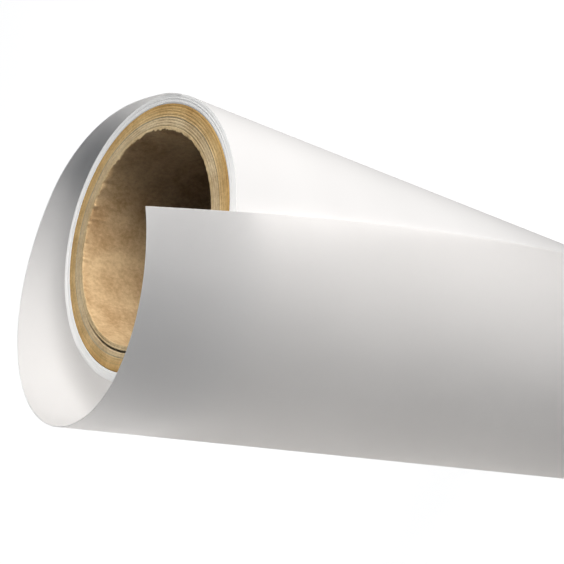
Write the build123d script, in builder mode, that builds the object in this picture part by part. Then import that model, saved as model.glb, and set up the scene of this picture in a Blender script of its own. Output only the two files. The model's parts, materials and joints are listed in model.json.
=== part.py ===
"""A roll of sign vinyl standing on its far end, with its outermost lap loose.

The web (film on its release liner) is wound on a paper core. The origin is on the core's axis at
the end that the roll stands on, and +Z runs along the axis to the near end. The last lap stands
off the roll and overhangs the near end. It is divided into strips that are hinged along the lines
where the sheet bends, so that it can be opened. Angles are in degrees, lengths in millimetres.
"""

import math
import os

from build123d import *

os.makedirs("parts", exist_ok=True)

# ---- Core -------------------------------------------------------------------------------------
web_width = 304.8          # 12 in web, and the core is cut to the same length
core_bore_radius = 38.1    # 3 in core
core_wall = 9.0
ply_count = 9
glue_line = 0.02           # between two plies

# ---- Web --------------------------------------------------------------------------------------
film_thickness = 0.10      # face film with its adhesive
liner_thickness = 0.14
layer_gap = 0.005          # between film and liner, and between one turn and the next
wound_turns = 12

# ---- Tape that holds the web's first edge to the core ---------------------------------------------
tape_thickness = 0.15      # double-sided tape
tape_width = 25.0
tape_margin = 5.0          # bare core beyond each end of the tape
tape_clearance = 0.01      # each side of the tape

# ---- Loose lap --------------------------------------------------------------------------------
lift_angle = 53.0          # where the lap leaves the roll, from +X
lap_clearance = 0.35       # between the roll and the lap where they lie together
lap_lift = 0.4             # the lap's lower edge above the floor
lap_turn = 270.0           # turn of the lap's near edge, from the lift line to the free corner
full_strips = 12           # strips between the lift line and the free corner
cut_strips = 4             # strips beyond it, which the free edge crosses
slit = 0.3                 # between two strips
bend_flats = 4             # flats across one strip that stand for its curve
first_lift = 13.3          # stand-off that the near edge gains in the first lift_turn
lift_turn = 75.0
second_lift = 2.6          # further stand-off, gained between second_start and second_end
second_start = 90.0
second_end = 170.0
fall_start = 205.0         # the near edge comes back to the roll between these turns
fall_end = 330.0
far_lift = 22.0            # stand-off at the far end, gained and lost between the next four turns
far_rise_start = 70.0
far_rise_end = 175.0
far_fall_start = 190.0
far_fall_end = 300.0
overhang_ramp = 110.0      # turn over which the lap's edge starts to climb past the roll's end
overhang_rate = 0.1707     # climb after that, mm per degree of turn
free_edge_rate = 0.19      # slant of the free edge, degrees of turn per mm of height

# ---- Worked out from the above ----------------------------------------------------------------
ply_pitch = core_wall / ply_count
core_radius = core_bore_radius + core_wall
wound_radius = core_radius + tape_thickness + 2 * tape_clearance
web_pitch = liner_thickness + film_thickness + 2 * layer_gap
roll_radius = wound_radius + wound_turns * web_pitch
lap_inner_radius = roll_radius + lap_clearance
film_inset = liner_thickness + layer_gap


def ease(x):
    """A smooth step from 0 to 1."""
    x = min(max(x, 0.0), 1.0)
    return x * x * (3 - 2 * x)


def near_stand_off(turn):
    """How far the lap stands off the roll at the near end."""
    rise = first_lift * ease(turn / lift_turn)
    rise += second_lift * ease((turn - second_start) / (second_end - second_start))
    return rise * (1 - ease((turn - fall_start) / (fall_end - fall_start)))


def far_stand_off(turn):
    """How far the lap stands off the roll at the far end."""
    rise = far_lift * ease((turn - far_rise_start) / (far_rise_end - far_rise_start))
    return rise * (1 - ease((turn - far_fall_start) / (far_fall_end - far_fall_start)))


def lap_radius(turn, height):
    """Radius of the lap's inner face. Each line of constant turn is straight, and the roll's
    own surface under it grows by one pitch in a turn."""
    share = height / web_width
    stand_off = share * near_stand_off(turn) + (1 - share) * far_stand_off(turn)
    return lap_inner_radius + web_pitch * turn / 360 + stand_off


def edge_climb(turn):
    """How far the lap's two cut edges have climbed along the roll's axis."""
    x = min(turn / overhang_ramp, 1.0)
    ramp = overhang_ramp * (x**3 - x**4 / 2)
    return lap_lift + overhang_rate * (ramp + max(turn - overhang_ramp, 0.0))


def free_edge_height(turn):
    """Height of the slanted free edge at a turn past the free corner."""
    return free_corner_height - (turn - lap_turn) / free_edge_rate


def point(radius, turn, height):
    """A point given by its radius, its turn past the lift line and its height."""
    angle = math.radians(lift_angle + turn)
    return Vector(radius * math.cos(angle), radius * math.sin(angle), height)


def cut_plane(first, second, outward):
    """A plane through two points of a cut edge and square to the sheet, facing off the web."""
    return Plane(origin=first, x_dir=outward, z_dir=outward.cross(second - first))


free_corner_height = web_width + edge_climb(lap_turn)

# The far corner is where the free edge runs into the lap's lower edge.
far_corner_turn = lap_turn + web_width / (1 / free_edge_rate + overhang_rate)
full_pitch = lap_turn / full_strips
cut_pitch = (far_corner_turn - lap_turn) / cut_strips
rulings = [full_pitch * i for i in range(full_strips + 1)]
rulings += [lap_turn + cut_pitch * i for i in range(1, cut_strips + 1)]

# ---- Core plies -------------------------------------------------------------------------------
ply_names = ["core_inner_ply"]
ply_names += [f"core_body_ply_{i}" for i in range(2, ply_count)]
ply_names += ["core_outer_ply"]

for i, name in enumerate(ply_names):
    ply_inner = core_bore_radius + i * ply_pitch
    ply_outer = ply_inner + ply_pitch - (glue_line if i < ply_count - 1 else 0.0)
    with BuildPart() as ply:
        with BuildSketch():
            Circle(ply_outer)
            Circle(ply_inner, mode=Mode.SUBTRACT)
        extrude(amount=web_width)
    ply.part.label = name
    export_step(ply.part, f"parts/{name}.step")

# ---- Start tape -------------------------------------------------------------------------------
tape_inner = core_radius + tape_clearance
tape_sweep = math.degrees(tape_width / core_radius)

with BuildPart() as start_tape:
    with BuildSketch(Plane.XY.offset(tape_margin)):
        with BuildLine():
            tape_start = lift_angle - tape_sweep / 2
            inner_arc = CenterArc((0, 0), tape_inner, tape_start, tape_sweep)
            outer_arc = CenterArc((0, 0), tape_inner + tape_thickness, tape_start, tape_sweep)
            Line(inner_arc @ 0, outer_arc @ 0)
            Line(inner_arc @ 1, outer_arc @ 1)
        make_face()
    extrude(amount=web_width - 2 * tape_margin)
start_tape.part.label = "start_tape"
export_step(start_tape.part, "parts/start_tape.step")

# ---- Tight winding ----------------------------------------------------------------------------
# Each layer is a true spiral of half-turn arcs. Every arc's radius is half a pitch more than the
# last, and its centre is alternately on the axis and half a pitch from it.
last_half = 2 * wound_turns
layers = [
    ("liner_inner_turns", 0.0, liner_thickness, 0, last_half - 2),
    ("film_inner_turns", film_inset, film_thickness, 0, last_half - 2),
    ("liner_outer_turn", 0.0, liner_thickness, last_half - 2, last_half),
    ("film_outer_turn", film_inset, film_thickness, last_half - 2, last_half),
]

for name, inset, thickness, first, last in layers:
    with BuildPart() as layer:
        with BuildSketch(Plane.XY.rotated((0, 0, lift_angle))):
            with BuildLine():
                for side in (inset, inset + thickness):
                    for half in range(first, last):
                        odd = half % 2
                        radius = wound_radius + half * web_pitch / 2 + side
                        CenterArc((odd * web_pitch / 2, 0), radius, odd * 180, 180)
                for half in (first, last):
                    end = wound_radius + half * web_pitch / 2 + inset
                    Line((end, 0), (end + thickness, 0))
            make_face()
        extrude(amount=web_width)
    layer.part.label = name
    export_step(layer.part, f"parts/{name}.step")

# ---- Loose lap --------------------------------------------------------------------------------
# Each strip is a ruled solid between a bent band below it and one above it, cut to the web's edges.
below = -10.0
above = free_corner_height + 10.0
lap_layers = [
    ("liner", 0.0, liner_thickness),
    ("film", film_inset, film_thickness),
]

for i in range(full_strips + cut_strips):
    start, end = rulings[i], rulings[i + 1]
    middle = (start + end) / 2
    half_slit = math.degrees(slit / 2 / lap_inner_radius)
    first = start + half_slit
    step = (end - start - 2 * half_slit) / bend_flats
    outward = point(1, middle, 0)
    radius = lap_radius(middle, web_width)
    lower_cut = cut_plane(
        point(radius, end, edge_climb(end)), point(radius, start, edge_climb(start)), outward
    )
    upper_cut = cut_plane(
        point(radius, start, web_width + edge_climb(start)),
        point(radius, end, web_width + edge_climb(end)),
        outward,
    )
    if i >= full_strips:
        upper_cut = cut_plane(
            point(radius, start, free_edge_height(start)),
            point(radius, end, free_edge_height(end)),
            outward,
        )
    for kind, inset, thickness in lap_layers:
        with BuildPart() as strip:
            for level in (below, above):
                with BuildSketch(Plane.XY.offset(level)):
                    with BuildLine():
                        sides = []
                        for side in (inset, inset + thickness):
                            turns = [first + step * k for k in range(bend_flats + 1)]
                            radii = [lap_radius(turn, level) + side for turn in turns]
                            corners = [point(r, turn, 0) for r, turn in zip(radii, turns)]
                            sides.append(Polyline(*corners))
                        Line(sides[0] @ 0, sides[1] @ 0)
                        Line(sides[0] @ 1, sides[1] @ 1)
                    make_face()
            loft(ruled=True)
            split(bisect_by=upper_cut, keep=Keep.BOTTOM)
            split(bisect_by=lower_cut, keep=Keep.BOTTOM)
        name = f"{kind}_lap_{i + 1:02d}"
        strip.part.label = name
        export_step(strip.part, f"parts/{name}.step")
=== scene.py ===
"""The looks of a standing roll of frosted sign vinyl with a loose outer lap.

Lengths are in millimetres until a mesh is made, and angles in degrees. A turn is an angle round
the roll, counted from the line where the lap leaves it.
"""

import json
import math

import bpy
from mathutils import Matrix, Vector, noise


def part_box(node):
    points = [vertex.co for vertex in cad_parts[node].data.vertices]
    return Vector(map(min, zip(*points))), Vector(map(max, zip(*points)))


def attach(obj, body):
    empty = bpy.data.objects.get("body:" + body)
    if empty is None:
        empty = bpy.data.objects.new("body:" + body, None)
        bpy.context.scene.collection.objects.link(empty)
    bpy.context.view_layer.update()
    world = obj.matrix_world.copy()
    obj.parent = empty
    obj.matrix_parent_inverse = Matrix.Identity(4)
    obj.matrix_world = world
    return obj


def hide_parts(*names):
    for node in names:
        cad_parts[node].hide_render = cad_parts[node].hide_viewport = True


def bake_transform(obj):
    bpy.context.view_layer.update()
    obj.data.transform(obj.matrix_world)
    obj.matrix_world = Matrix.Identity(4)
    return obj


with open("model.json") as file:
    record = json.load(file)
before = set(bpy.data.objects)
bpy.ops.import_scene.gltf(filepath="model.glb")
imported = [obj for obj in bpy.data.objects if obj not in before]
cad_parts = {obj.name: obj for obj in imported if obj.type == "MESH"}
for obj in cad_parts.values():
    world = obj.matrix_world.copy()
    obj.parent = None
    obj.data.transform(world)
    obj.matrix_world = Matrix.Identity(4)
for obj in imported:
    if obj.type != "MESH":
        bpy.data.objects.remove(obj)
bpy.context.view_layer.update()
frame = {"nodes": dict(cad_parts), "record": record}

MM = 0.001

# ---- Sizes read from the frame ----------------------------------------------------------------
WEB_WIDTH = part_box("core_inner_ply")[1].z / MM
CORE_BORE = next(m for m in frame["record"]["mounts"] if m["name"] == "core_bore")["dims"]["r_mm"]
CORE_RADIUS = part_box("core_outer_ply")[1].x / MM

# ---- Sizes of the web and lap, the same as the CAD model's --------------------------------------
PLY_COUNT = 9
LINER = 0.14
FILM = 0.10
LAYER_GAP = 0.005
WOUND_TURNS = 12
TAPE = 0.15          # holds the web's start to the core
TAPE_CLEARANCE = 0.01
WOUND_RADIUS = CORE_RADIUS + TAPE + 2 * TAPE_CLEARANCE
PITCH = LINER + FILM + 2 * LAYER_GAP
ROLL_RADIUS = WOUND_RADIUS + WOUND_TURNS * PITCH
WEB = LINER + FILM + LAYER_GAP
LIFT_ANGLE = 53.0
LAP_CLEARANCE = 0.35
LAP_LIFT = 0.4
LAP_TURN = 270.0     # to the free corner; the free edge slants on from there
FIRST_LIFT = 13.3    # stand-off that the near edge gains in the first LIFT_TURN
LIFT_TURN = 75.0
SECOND_LIFT = 2.6    # further stand-off, gained between these turns
SECOND_START = 90.0
SECOND_END = 170.0
FALL_START = 205.0   # the near edge comes back to the roll between these turns
FALL_END = 330.0
FAR_LIFT = 22.0      # stand-off at the far end, gained and lost between the next four turns
FAR_RISE_START = 70.0
FAR_RISE_END = 175.0
FAR_FALL_START = 190.0
FAR_FALL_END = 300.0
FULL_STRIPS = 12     # strips of the whole width, then those that the free edge cuts
CUT_STRIPS = 4
OVERHANG_RAMP = 110.0     # degrees over which the climb of the lap's cut edges steepens
OVERHANG_RATE = 0.1707    # mm of climb a degree after that
FREE_EDGE_RATE = 0.19     # degrees of turn a mm along the free edge
FAR_TURN = LAP_TURN + WEB_WIDTH / (1 / FREE_EDGE_RATE + OVERHANG_RATE)


def ease(x):
    """A smooth step from 0 to 1."""
    x = min(max(x, 0.0), 1.0)
    return x * x * (3 - 2 * x)


def gained(turn, start, end):
    """A smooth step from 0 to 1 between two turns."""
    return ease((turn - start) / (end - start))


def stand_off(turn, share):
    """The lap's distance off the roll; share is 0 at the far end and 1 at the near end."""
    near = FIRST_LIFT * gained(turn, 0, LIFT_TURN) + SECOND_LIFT * gained(turn, SECOND_START, SECOND_END)
    near *= 1 - gained(turn, FALL_START, FALL_END)
    far = FAR_LIFT * gained(turn, FAR_RISE_START, FAR_RISE_END)
    far *= 1 - gained(turn, FAR_FALL_START, FAR_FALL_END)
    return share * near + (1 - share) * far


def edge_climb(turn):
    """How far the lap's cut edges have climbed along the roll's axis."""
    x = min(max(turn, 0.0) / OVERHANG_RAMP, 1.0)
    ramp = OVERHANG_RAMP * (x**3 - x**4 / 2)
    return LAP_LIFT + OVERHANG_RATE * (ramp + max(turn - OVERHANG_RAMP, 0.0))


def upper_edge(turn):
    """Height of the lap's upper edge: the near edge, then the slanted free edge."""
    if turn <= LAP_TURN:
        return WEB_WIDTH + edge_climb(turn)
    corner = WEB_WIDTH + edge_climb(LAP_TURN)
    return corner - (turn - LAP_TURN) / FREE_EDGE_RATE


def polar(radius, turn, height):
    """A point in metres from its radius, turn and height."""
    angle = math.radians(LIFT_ANGLE + turn)
    return Vector((radius * math.cos(angle), radius * math.sin(angle), height)) * MM


# ---- Materials ----------------------------------------------------------------------------------
def new_material(name):
    """An empty node material. Returns (material, add, link)."""
    material = bpy.data.materials.new(name)
    material.use_nodes = True
    tree = material.node_tree
    tree.nodes.clear()

    def add(kind, **sockets):
        node = tree.nodes.new(kind)
        for key, value in sockets.items():
            node.inputs[key.replace("_", " ")].default_value = value
        return node

    return material, add, tree.links.new


def ramp(add, link, source, stops):
    """A colour ramp over source with (position, colour) stops."""
    node = add("ShaderNodeValToRGB")
    elements = node.color_ramp.elements
    while len(elements) < len(stops):
        elements.new(0.5)
    for element, (position, colour) in zip(elements, stops):
        element.position = position
        element.color = (*colour, 1)
    link(source, node.inputs["Fac"])
    return node.outputs["Color"]


def film_material(name, share_through, low, high):
    """Frosted white film: satin outside, and a share of the light goes through it."""
    material, add, link = new_material(name)
    out = add("ShaderNodeOutputMaterial")
    coords = add("ShaderNodeTexCoord")
    grain = add("ShaderNodeTexNoise", Scale=900.0, Detail=3.0)
    cloud = add("ShaderNodeTexNoise", Scale=14.0, Detail=2.0)
    link(coords.outputs["Object"], grain.inputs["Vector"])
    link(coords.outputs["Object"], cloud.inputs["Vector"])
    tint = ramp(add, link, cloud.outputs["Fac"], [(0.35, low), (0.65, high)])
    bump = add("ShaderNodeBump", Strength=0.05, Distance=0.0002)
    link(grain.outputs["Fac"], bump.inputs["Height"])
    surface = add("ShaderNodeBsdfPrincipled", Roughness=0.42, IOR=1.45)
    link(tint, surface.inputs["Base Color"])
    link(bump.outputs["Normal"], surface.inputs["Normal"])
    if not share_through:
        link(surface.outputs[0], out.inputs["Surface"])
        return material
    through = add("ShaderNodeBsdfTranslucent", Color=(0.98, 0.975, 0.97, 1))
    mix = add("ShaderNodeMixShader", Fac=share_through)
    link(surface.outputs[0], mix.inputs[1])
    link(through.outputs[0], mix.inputs[2])
    link(mix.outputs[0], out.inputs["Surface"])
    return material


def edge_material():
    """The cut edges of the wound web: film and liner layers, end on, with a painted glow."""
    material, add, link = new_material("web_edges")
    out = add("ShaderNodeOutputMaterial")
    coords = add("ShaderNodeTexCoord")
    dust = add("ShaderNodeTexNoise", Scale=400.0, Detail=4.0)
    link(coords.outputs["Object"], dust.inputs["Vector"])
    tint = ramp(add, link, dust.outputs["Fac"], [(0.3, (0.80, 0.81, 0.80)), (0.7, (0.90, 0.895, 0.88))])
    surface = add("ShaderNodeBsdfPrincipled", Roughness=0.5)
    surface.inputs["Emission Color"].default_value = (1.0, 0.98, 0.96, 1)
    surface.inputs["Emission Strength"].default_value = 0.24     # painted glow, standing in for light that the film carries to its edge
    link(tint, surface.inputs["Base Color"])
    link(surface.outputs[0], out.inputs["Surface"])
    return material


def board_material(name, dark, light, scale, bands=None):
    """Kraft board with fibres and blotches. It throws less light on than it shows, for a dark bore.
    bands is a list of (radius in mm, tint) for the plies that show on a cut end."""
    material, add, link = new_material(name)
    out = add("ShaderNodeOutputMaterial")
    coords = add("ShaderNodeTexCoord")
    stretch = add("ShaderNodeMapping", Scale=(1.0, 1.0, 0.8))
    fibres = add("ShaderNodeTexNoise", Scale=scale, Detail=8.0, Roughness=0.65)
    blotch = add("ShaderNodeTexNoise", Scale=scale / 9, Detail=3.0)
    link(coords.outputs["Object"], stretch.inputs["Vector"])
    link(stretch.outputs[0], fibres.inputs["Vector"])
    link(coords.outputs["Object"], blotch.inputs["Vector"])
    total = add("ShaderNodeMath")
    total.operation = "ADD"
    half = add("ShaderNodeMath")
    half.operation = "MULTIPLY"
    half.inputs[1].default_value = 0.5
    link(fibres.outputs["Fac"], total.inputs[0])
    link(blotch.outputs["Fac"], total.inputs[1])
    link(total.outputs[0], half.inputs[0])
    tint = ramp(add, link, half.outputs[0], [(0.36, dark), (0.62, light)])
    if bands:
        flat = add("ShaderNodeVectorMath")
        flat.operation = "MULTIPLY"
        flat.inputs[1].default_value = (1, 1, 0)
        link(coords.outputs["Object"], flat.inputs[0])
        length = add("ShaderNodeVectorMath")
        length.operation = "LENGTH"
        link(flat.outputs[0], length.inputs[0])
        waver = add("ShaderNodeTexNoise", Scale=45.0, Detail=3.0)
        link(coords.outputs["Object"], waver.inputs["Vector"])
        shift = add("ShaderNodeMath")
        shift.operation = "MULTIPLY_ADD"
        shift.inputs[1].default_value = 0.0012
        link(waver.outputs["Fac"], shift.inputs[0])
        link(length.outputs["Value"], shift.inputs[2])
        across = add("ShaderNodeMapRange")
        across.inputs["From Min"].default_value = CORE_BORE * MM + 0.0006
        across.inputs["From Max"].default_value = CORE_RADIUS * MM + 0.0006
        link(shift.outputs[0], across.inputs["Value"])
        width = CORE_RADIUS - CORE_BORE
        stops = [((radius - CORE_BORE) / width, colour) for radius, colour in bands]
        band = ramp(add, link, across.outputs["Result"], stops)
        blend = add("ShaderNodeMix")
        blend.data_type = "RGBA"
        blend.blend_type = "MULTIPLY"
        blend.inputs["Factor"].default_value = 1.0
        link(tint, blend.inputs["A"])
        link(band, blend.inputs["B"])
        tint = blend.outputs["Result"]
    bump = add("ShaderNodeBump", Strength=0.35, Distance=0.0004)
    link(fibres.outputs["Fac"], bump.inputs["Height"])
    surface = add("ShaderNodeBsdfPrincipled", Roughness=0.85)
    link(tint, surface.inputs["Base Color"])
    link(bump.outputs["Normal"], surface.inputs["Normal"])
    thrown = add("ShaderNodeBsdfDiffuse", Color=(0.07, 0.03, 0.012, 1))
    ray = add("ShaderNodeLightPath")
    mix = add("ShaderNodeMixShader")
    link(ray.outputs["Is Diffuse Ray"], mix.inputs[0])
    link(surface.outputs[0], mix.inputs[1])
    link(thrown.outputs[0], mix.inputs[2])
    link(mix.outputs[0], out.inputs["Surface"])
    return material


film = film_material("frosted_film", 0.66, (0.91, 0.905, 0.90), (0.95, 0.945, 0.94))
wound_film = film_material("wound_film", 0.0, (0.74, 0.735, 0.73), (0.78, 0.775, 0.77))
web_edges = edge_material()
PLY_TINTS = [
    (38.1, (1.0, 0.96, 0.86)), (39.6, (0.98, 0.98, 0.94)), (39.9, (0.78, 0.78, 0.78)),
    (40.2, (1.0, 1.0, 1.0)), (42.0, (0.98, 0.97, 0.93)), (42.3, (0.62, 0.66, 0.74)),
    (42.6, (1.0, 0.92, 0.74)), (44.4, (0.98, 0.84, 0.58)), (44.7, (0.80, 0.70, 0.50)),
    (45.0, (1.0, 0.86, 0.60)), (46.6, (0.92, 0.74, 0.44)), (47.1, (0.60, 0.46, 0.22)),
]
bore_board = board_material("bore_board", (0.60, 0.365, 0.17), (0.94, 0.67, 0.365), 800.0)
end_board = board_material("end_board", (0.68, 0.485, 0.26), (0.98, 0.78, 0.49), 900.0, PLY_TINTS)


# ---- Mesh helpers -------------------------------------------------------------------------------
def make_object(name, points, faces, materials, normals=None):
    """A smooth mesh object. faces is a list of (corners, material index)."""
    mesh = bpy.data.meshes.new(name)
    mesh.from_pydata(points, [], [corners for corners, _ in faces])
    for material in materials:
        mesh.materials.append(material)
    for polygon, (_, index) in zip(mesh.polygons, faces):
        polygon.material_index = index
        polygon.use_smooth = True
    mesh.update()
    if normals:
        mesh.normals_split_custom_set([normals[loop.vertex_index] for loop in mesh.loops])
    piece = bpy.data.objects.new(name, mesh)
    bpy.context.scene.collection.objects.link(piece)
    return piece


def grid_faces(columns, rows, start, material, flip=False, wrap=False):
    """Quads of a grid whose points are stored column by column from index start."""
    faces = []
    for i in range(columns if wrap else columns - 1):
        for j in range(rows - 1):
            a = start + i * rows + j
            b = start + (i + 1) % columns * rows + j
            corners = (a, b, b + 1, a + 1)
            faces.append((corners[::-1] if flip else corners, material))
    return faces


# ---- Loose lap ------------------------------------------------------------------------------------
LAP_ROWS = 41
LAP_STEPS = 16
JOIN_TURN = 12.0     # the lap's first stretch lies on the roll and joins it smoothly


def lap_point(turn, height, outer):
    """A point of the lap's inner or outer face."""
    base = LAP_CLEARANCE * ease(1 + turn / JOIN_TURN) if turn < 0 else LAP_CLEARANCE
    radius = ROLL_RADIUS + base + PITCH * turn / 360 + stand_off(max(turn, 0.0), height / WEB_WIDTH)
    return polar(radius + (WEB if outer else 0.0), turn, height)


def lap_normal(turn, height):
    """The outward normal of the lap."""
    step = 0.2
    along = lap_point(turn + step, height, True) - lap_point(turn - step, height, True)
    up = lap_point(turn, height + 5, True) - lap_point(turn, height - 5, True)
    return along.cross(up).normalized()


def lap_piece(name, first, middle, last, steps, close_first, close_last):
    """The lap between two turns: outer face, inner face and its cut edges. A column of points
    lies at the middle turn, so that the free corner is sharp."""
    points, normals = [], []
    half = steps // 2
    for outer in (True, False):
        for i in range(steps + 1):
            turn = first + (middle - first) * i / half
            if i > half:
                turn = middle + (last - middle) * (i - half) / (steps - half)
            low, high = edge_climb(turn), upper_edge(turn)
            for j in range(LAP_ROWS):
                height = low + (high - low) * j / (LAP_ROWS - 1)
                points.append(lap_point(turn, height, outer))
                normal = lap_normal(turn, height)
                normals.append(normal if outer else -normal)
    inner = (steps + 1) * LAP_ROWS
    faces = grid_faces(steps + 1, LAP_ROWS, 0, 0)
    faces += grid_faces(steps + 1, LAP_ROWS, inner, 0, flip=True)

    def rim(path, flip):
        """A cut edge along a path of outer-face indices, with its own corners."""
        start = len(points)
        for k in path:
            points.extend((points[k], points[k + inner]))
        for i in range(len(path) - 1):
            a = start + 2 * i
            corners = (a, a + 1, a + 3, a + 2)
            faces.append((corners[::-1] if flip else corners, 0))
        edge_normals = []
        for i in range(len(path)):
            a, b = path[max(i - 1, 0)], path[min(i + 1, len(path) - 1)]
            across = (points[b] - points[a]).cross(normals[path[i]])
            across.normalize()
            edge_normals += [across if not flip else -across] * 2
        normals.extend(edge_normals)

    columns = range(steps + 1)
    rim([i * LAP_ROWS + LAP_ROWS - 1 for i in columns], flip=True)
    rim([i * LAP_ROWS for i in columns], flip=False)
    if close_first:
        rim(list(range(LAP_ROWS)), flip=True)
    if close_last:
        rim([steps * LAP_ROWS + j for j in range(LAP_ROWS)], flip=False)
    return make_object(name, points, faces, [film], normals)


def flat_size(first, last):
    """The flat (width, length) in metres of the lap between two turns, and its area."""
    count = 40
    length, area = 0.0, 0.0
    turns = [first + (last - first) * k / count for k in range(count + 1)]
    for a, b in zip(turns, turns[1:]):
        step = (lap_point(b, WEB_WIDTH / 2, True) - lap_point(a, WEB_WIDTH / 2, True)).length
        middle = (a + b) / 2
        length += step
        area += step * (upper_edge(middle) - edge_climb(middle)) * MM
    tallest = (upper_edge(first) - edge_climb(first)) * MM
    return (length, tallest), min(area, length * tallest)


BEND_SHARE = 0.85    # share of the way to a strip's middle that each hinge's span takes
full_pitch = LAP_TURN / FULL_STRIPS
cut_pitch = (FAR_TURN - LAP_TURN) / CUT_STRIPS
rulings = [full_pitch * i for i in range(FULL_STRIPS + 1)]
rulings += [LAP_TURN + cut_pitch * i for i in range(1, CUT_STRIPS + 1)]
strips = FULL_STRIPS + CUT_STRIPS
middles = [(rulings[i] + rulings[i + 1]) / 2 for i in range(strips)]

# One piece spans each hinge, from the middle of one strip to the middle of the next.
for i in range(strips):
    first = middles[i - 1] if i else -JOIN_TURN
    free = i == strips - 1
    last = FAR_TURN - 0.05 if free else middles[i]
    piece = lap_piece(f"lap_sheet_{i + 1:02d}", first, rulings[i], last, LAP_STEPS, i == 0, free)
    half = BEND_SHARE * min(rulings[i] - first, middles[i] - rulings[i])
    start, end = (lap_point(rulings[i] + side * half, WEB_WIDTH / 2, False) for side in (-1, 1))
    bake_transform(piece)
    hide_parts(f"film_lap_{i + 1:02d}", f"liner_lap_{i + 1:02d}")
    flat, area = flat_size(first, last)

# ---- Tight winding ----------------------------------------------------------------------------------
WIND_STEPS = 240
SUNK_EVERY = 4       # every fourth turn sits a little lower, which shows as a line
SUNK_DEPTH = 0.14
NEAR_END = (0.15, 0.4, 0.8, 1.6, 4.0)     # rows close to the ends keep the wall's shading straight
MIDDLE_ROWS = 21     # between those, from MIDDLE_FROM off each end
MIDDLE_FROM = 12.0


def winding():
    """The roll's outer face, and the spiral of cut edges at both ends."""
    points, faces = [], []
    row_step = (WEB_WIDTH - 2 * MIDDLE_FROM) / (MIDDLE_ROWS - 1)
    middle = [MIDDLE_FROM + row_step * k for k in range(MIDDLE_ROWS)]
    heights = [*NEAR_END, *middle, *(WEB_WIDTH - h for h in NEAR_END[::-1])]
    rows = len(heights)
    for i in range(WIND_STEPS + 1):
        turn = 360 * i / WIND_STEPS
        radius = ROLL_RADIUS + PITCH * turn / 360 - LAYER_GAP
        for height in heights:
            points.append(polar(radius, turn, height))
    faces += grid_faces(WIND_STEPS + 1, rows, 0, 0)
    wall = range(0, (WIND_STEPS + 1) * rows, rows)
    # Across one turn: (offset from the turn's inner face, height above the mean end face).
    profile = [(0.0, -0.08), (0.03, -0.02), (0.11, -0.01), (0.145, -0.05), (0.165, 0.0), (0.235, 0.0)]
    for top in (True, False):
        start = len(points)
        count = WIND_STEPS * WOUND_TURNS
        for i in range(count + 1):
            wound = i / WIND_STEPS
            turn = 360 * wound
            radius = WOUND_RADIUS + PITCH * wound
            telescope = 0.20 * noise.noise(Vector((wound * 0.9, 3.0, 7.0 * top)))
            telescope += 0.02 * noise.noise(Vector((wound * 5.0, 5.0, 2.0 * top)))
            sunk = SUNK_DEPTH if turn % (360 * SUNK_EVERY) > 360 * (SUNK_EVERY - 0.6) else 0.0
            for offset, height in profile:
                rise = height + telescope - 0.05 - sunk
                points.append(polar(radius + offset, turn, WEB_WIDTH + rise if top else -rise * 0.3))
        faces += grid_faces(count + 1, len(profile), start, 1, flip=top)
        # joins each turn to the next, over the groove between them
        rows_in = len(profile)
        for i in range(count - WIND_STEPS):
            a = start + i * rows_in + rows_in - 1
            b = a + rows_in
            c = start + (i + WIND_STEPS) * rows_in
            d = c + rows_in
            corners = (a, b, d, c)
            faces.append((corners[::-1] if top else corners, 1))
        # rounds the last turn over into the roll's outer face, and closes the gap at the core
        for i in range(WIND_STEPS):
            a = start + (count - WIND_STEPS + i) * rows_in + rows_in - 1
            b = a + rows_in
            c, d = (wall[i] + rows - 1, wall[i + 1] + rows - 1) if top else (wall[i], wall[i + 1])
            corners = (a, b, d, c)
            faces.append((corners[::-1] if top else corners, 0))
        lip = len(points)
        for i in range(WIND_STEPS + 1):
            height = WEB_WIDTH - 0.3 if top else 0.1
            points.append(polar(CORE_RADIUS + 0.02, 360 * i / WIND_STEPS, height))
        for i in range(WIND_STEPS):
            a = start + i * rows_in
            corners = (lip + i, lip + i + 1, a + rows_in, a)
            faces.append((corners[::-1] if top else corners, 1))
    return make_object("wound_web", points, faces, [wound_film, web_edges])


wound = winding()
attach(wound, "roll")
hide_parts("film_inner_turns", "liner_inner_turns", "film_outer_turn", "liner_outer_turn")

# ---- Core -------------------------------------------------------------------------------------------
CORE_STEPS = 480
CORE_ROWS = 70       # along the bore, closer together towards the near end
PLY_SAMPLES = 7      # across each ply on a sawn end
PLY_GROOVES = (0.05, 0.15, 0.05, 0.05, 0.14, 0.04, 0.06, 0.04, 0.10)     # depth beside each ply
PLY = (CORE_RADIUS - CORE_BORE) / PLY_COUNT
CRACK_TURN = 168.0    # middle of the stretch where the two innermost plies have parted from the rest
CRACK_HALF = 44.0     # degrees on each side of that
CRACK_GAP = 0.42
CRACK_DEPTH = 22.0    # along the bore, from the near end
WRINKLE_TURN = 75.0   # middle of the stretch where the bore's lining is creased
WRINKLE_HALF = 60.0


def crack(turn):
    """How far the two innermost plies have come away at a turn."""
    away = abs((turn - CRACK_TURN + 180) % 360 - 180) / CRACK_HALF
    return CRACK_GAP * (1 - ease(away))


def fray(turn, seed, rate=1.0):
    """Uneven cut along an edge, -1 to 1."""
    angle = math.radians(turn)
    around = Vector((math.cos(angle) * rate, math.sin(angle) * rate, seed))
    return 0.6 * noise.noise(around * 5) + 0.4 * noise.noise(around * 23)


def wrinkled(turn):
    """Share of wrinkling in the bore's lining at a turn."""
    return 1 - ease(abs((turn - WRINKLE_TURN + 180) % 360 - 180) / WRINKLE_HALF)


def ragged(turn):
    """How far torn fibres stand into the bore at its near edge: most on one half of it."""
    amount = 0.15 + 0.85 * ease(0.5 + math.sin(math.radians(turn + 35)))
    return amount * (0.35 + 0.9 * fray(turn, 9.1, 5.0) + 0.8 * fray(turn, 2.7, 9.0))


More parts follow.
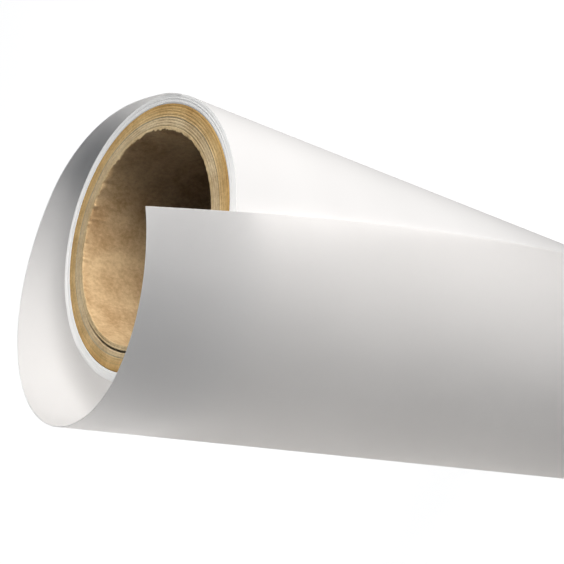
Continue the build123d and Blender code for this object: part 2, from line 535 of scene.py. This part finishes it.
def core():
    """The core: its bore, its two sawn ends with the plies showing, and its outer face."""
    points = []
    samples = PLY_SAMPLES
    heights = [1 - (1 - k / CORE_ROWS) ** 1.3 for k in range(CORE_ROWS + 1)]
    for i in range(CORE_STEPS):
        turn = 360 * i / CORE_STEPS
        column = []
        for top in (False, True):
            face = []
            for ply in range(PLY_COUNT):
                level = 0.14 * noise.noise(Vector((ply * 1.7, 4.0 + top, 1.0))) - 0.12
                for k in range(samples):
                    share = k / (samples - 1)
                    radius = CORE_BORE + PLY * (ply + 0.06 + 0.88 * share)
                    groove = -PLY_GROOVES[ply] * (abs(2 * share - 1) ** 6)
                    rough = 0.10 * fray(turn, ply + share * 1.3, 3.0)
                    if top and ply == 0:
                        rough += 0.25 * fray(turn, 3.3, 6.0) * (1 - share)
                        radius -= ragged(turn) * (1 - share) ** 2
                    if top and ply <= 1:
                        radius -= crack(turn)
                    if top and ply == 1:
                        groove -= 4.0 * crack(turn) * max(share - 0.8, 0) / 0.2
                    if top and ply == 2:
                        groove -= 4.0 * crack(turn) * max(0.2 - share, 0) / 0.2
                    rise = level + groove + rough
                    face.append(polar(radius, turn, WEB_WIDTH + rise if top else -0.3 * rise))
            column.append(face)
        low, high = column
        bore = []
        for share in heights[1:-1]:
            height = WEB_WIDTH * share
            near = max(0.0, 1 - (WEB_WIDTH - height) / CRACK_DEPTH)
            angle = math.radians(turn)
            place = Vector((math.cos(angle) * 3, math.sin(angle) * 3, height / 40))
            swell = 0.22 * noise.noise(place) + 0.10 * noise.noise(place * 3.1)
            crease = Vector((turn / 7 + height / 9, height / 14 - turn / 30, 0.0))
            swell -= 0.55 * max(0.0, 1 - abs(noise.noise(crease)) / 0.15) * near * wrinkled(turn)
            edge = max(0.0, 1 - (WEB_WIDTH - height) / 2.5)
            torn = ragged(turn) * edge**2
            bore.append(polar(CORE_BORE + swell * 0.6 - 0.1 - torn - crack(turn) * near**2, turn, height))
        ring = low[::-1] + bore + high
        loops = len(ring)
        points += ring
    faces = grid_faces(CORE_STEPS, loops, 0, 0, flip=True, wrap=True)
    end_rows = PLY_COUNT * samples
    marked = []
    for index, (corners, _) in enumerate(faces):
        in_bore = end_rows - 1 <= index % (loops - 1) <= loops - end_rows - 1
        marked.append((corners, 0 if in_bore else 1))
    for i in range(CORE_STEPS):
        a, b = i * loops, (i + 1) % CORE_STEPS * loops
        marked.append(((a, b, b + loops - 1, a + loops - 1), 1))
    return make_object("core_tube", points, marked, [bore_board, end_board])


core_tube = core()
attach(core_tube, "roll")
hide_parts(*[n for n in frame["nodes"] if "_ply" in n])
frame["nodes"]["start_tape"].material_slots[0].material = film

# ---- Floor, light and camera --------------------------------------------------------------------------
def floor_material():
    """A white sweep that is seen as lit through, and throws little light back at the roll."""
    material, add, link = new_material("white_sweep")
    out = add("ShaderNodeOutputMaterial")
    glow = add("ShaderNodeEmission", Strength=0.90)
    matte = add("ShaderNodeBsdfDiffuse", Color=(0.4, 0.4, 0.4, 1))
    seen = add("ShaderNodeAddShader")
    link(glow.outputs[0], seen.inputs[0])
    link(matte.outputs[0], seen.inputs[1])
    dim = add("ShaderNodeBsdfDiffuse", Color=(0.12, 0.12, 0.12, 1))
    ray = add("ShaderNodeLightPath")
    mix = add("ShaderNodeMixShader")
    link(ray.outputs["Is Camera Ray"], mix.inputs[0])
    link(dim.outputs[0], mix.inputs[1])
    link(seen.outputs[0], mix.inputs[2])
    link(mix.outputs[0], out.inputs["Surface"])
    return material


FLOOR_HALF = 12.0     # in metres
floor_points = [(x, y, 0) for x, y in ((-1, -1), (1, -1), (1, 1), (-1, 1))]
floor = make_object(
    "floor", [Vector(p) * FLOOR_HALF for p in floor_points], [((0, 1, 2, 3), 0)], [floor_material()]
)


def area_light(name, azimuth, elevation, distance, size, power, colour=(1, 1, 1)):
    """A soft light, (width, height) in size, aimed at the roll and placed by its direction from it."""
    data = bpy.data.lights.new(name, "AREA")
    data.shape = "RECTANGLE"
    data.size, data.size_y = size
    data.energy = power
    data.color = colour
    lamp = bpy.data.objects.new(name, data)
    bpy.context.scene.collection.objects.link(lamp)
    a, e = math.radians(azimuth), math.radians(elevation)
    direction = Vector((math.cos(a) * math.cos(e), math.sin(a) * math.cos(e), math.sin(e)))
    target = Vector((0, 0, WEB_WIDTH * MM * 0.6))
    lamp.location = target + direction * distance
    lamp.rotation_euler = direction.to_track_quat("Z", "Y").to_euler()
    return lamp


area_light("key", 14, 31, 0.9, (0.6, 0.6), 8.0, (1.0, 0.975, 0.955))
area_light("side", 350, 4, 1.0, (0.5, 0.24), 4.0, (1.0, 0.985, 0.975))
area_light("fill", 214, -4, 1.2, (0.7, 0.20), 12.4, (1.0, 0.965, 0.93))

world = bpy.data.worlds.new("studio")
bpy.context.scene.world = world
world.use_nodes = True
nodes, wire = world.node_tree.nodes, world.node_tree.links.new
sky = nodes["Background"]
sky.inputs["Color"].default_value = (0.74, 0.86, 1.0, 1)
sky.inputs["Strength"].default_value = 0.11
backdrop = nodes.new("ShaderNodeBackground")     # a pale wall, seen but throwing no light
backdrop.inputs["Color"].default_value = (0.80, 0.81, 0.82, 1)
seen = nodes.new("ShaderNodeLightPath")
both = nodes.new("ShaderNodeMixShader")
wire(seen.outputs["Is Camera Ray"], both.inputs[0])
wire(sky.outputs[0], both.inputs[1])
wire(backdrop.outputs[0], both.inputs[2])
wire(both.outputs[0], nodes["World Output"].inputs["Surface"])

CAMERA_AZIMUTH = 45.8     # seen from this side, from above, with the camera rolled on its side
CAMERA_ELEVATION = 41.38
CAMERA_ROLL = 76.26
CAMERA_OUT = 263.7        # mm from the roll's axis, and above its near end
CAMERA_UP = 164.5

camera_data = bpy.data.cameras.new("camera")
camera_data.lens = 57.0
camera_data.sensor_width = 36.0
camera = bpy.data.objects.new("camera", camera_data)
bpy.context.scene.collection.objects.link(camera)
bpy.context.scene.camera = camera
camera.location = polar(CAMERA_OUT, -45.0 - LIFT_ANGLE, WEB_WIDTH + CAMERA_UP)
azimuth, elevation = math.radians(CAMERA_AZIMUTH), math.radians(CAMERA_ELEVATION)
forward = Vector((-math.sin(azimuth), math.cos(azimuth), -math.tan(elevation))).normalized()
level = forward.to_track_quat("-Z", "Y").to_matrix()
camera.matrix_world = Matrix.Translation(camera.location) @ (
    level @ Matrix.Rotation(-math.radians(CAMERA_ROLL), 3, "Z")
).to_4x4()
camera_data.clip_start = 0.01

bpy.context.scene.view_settings.view_transform = "Standard"
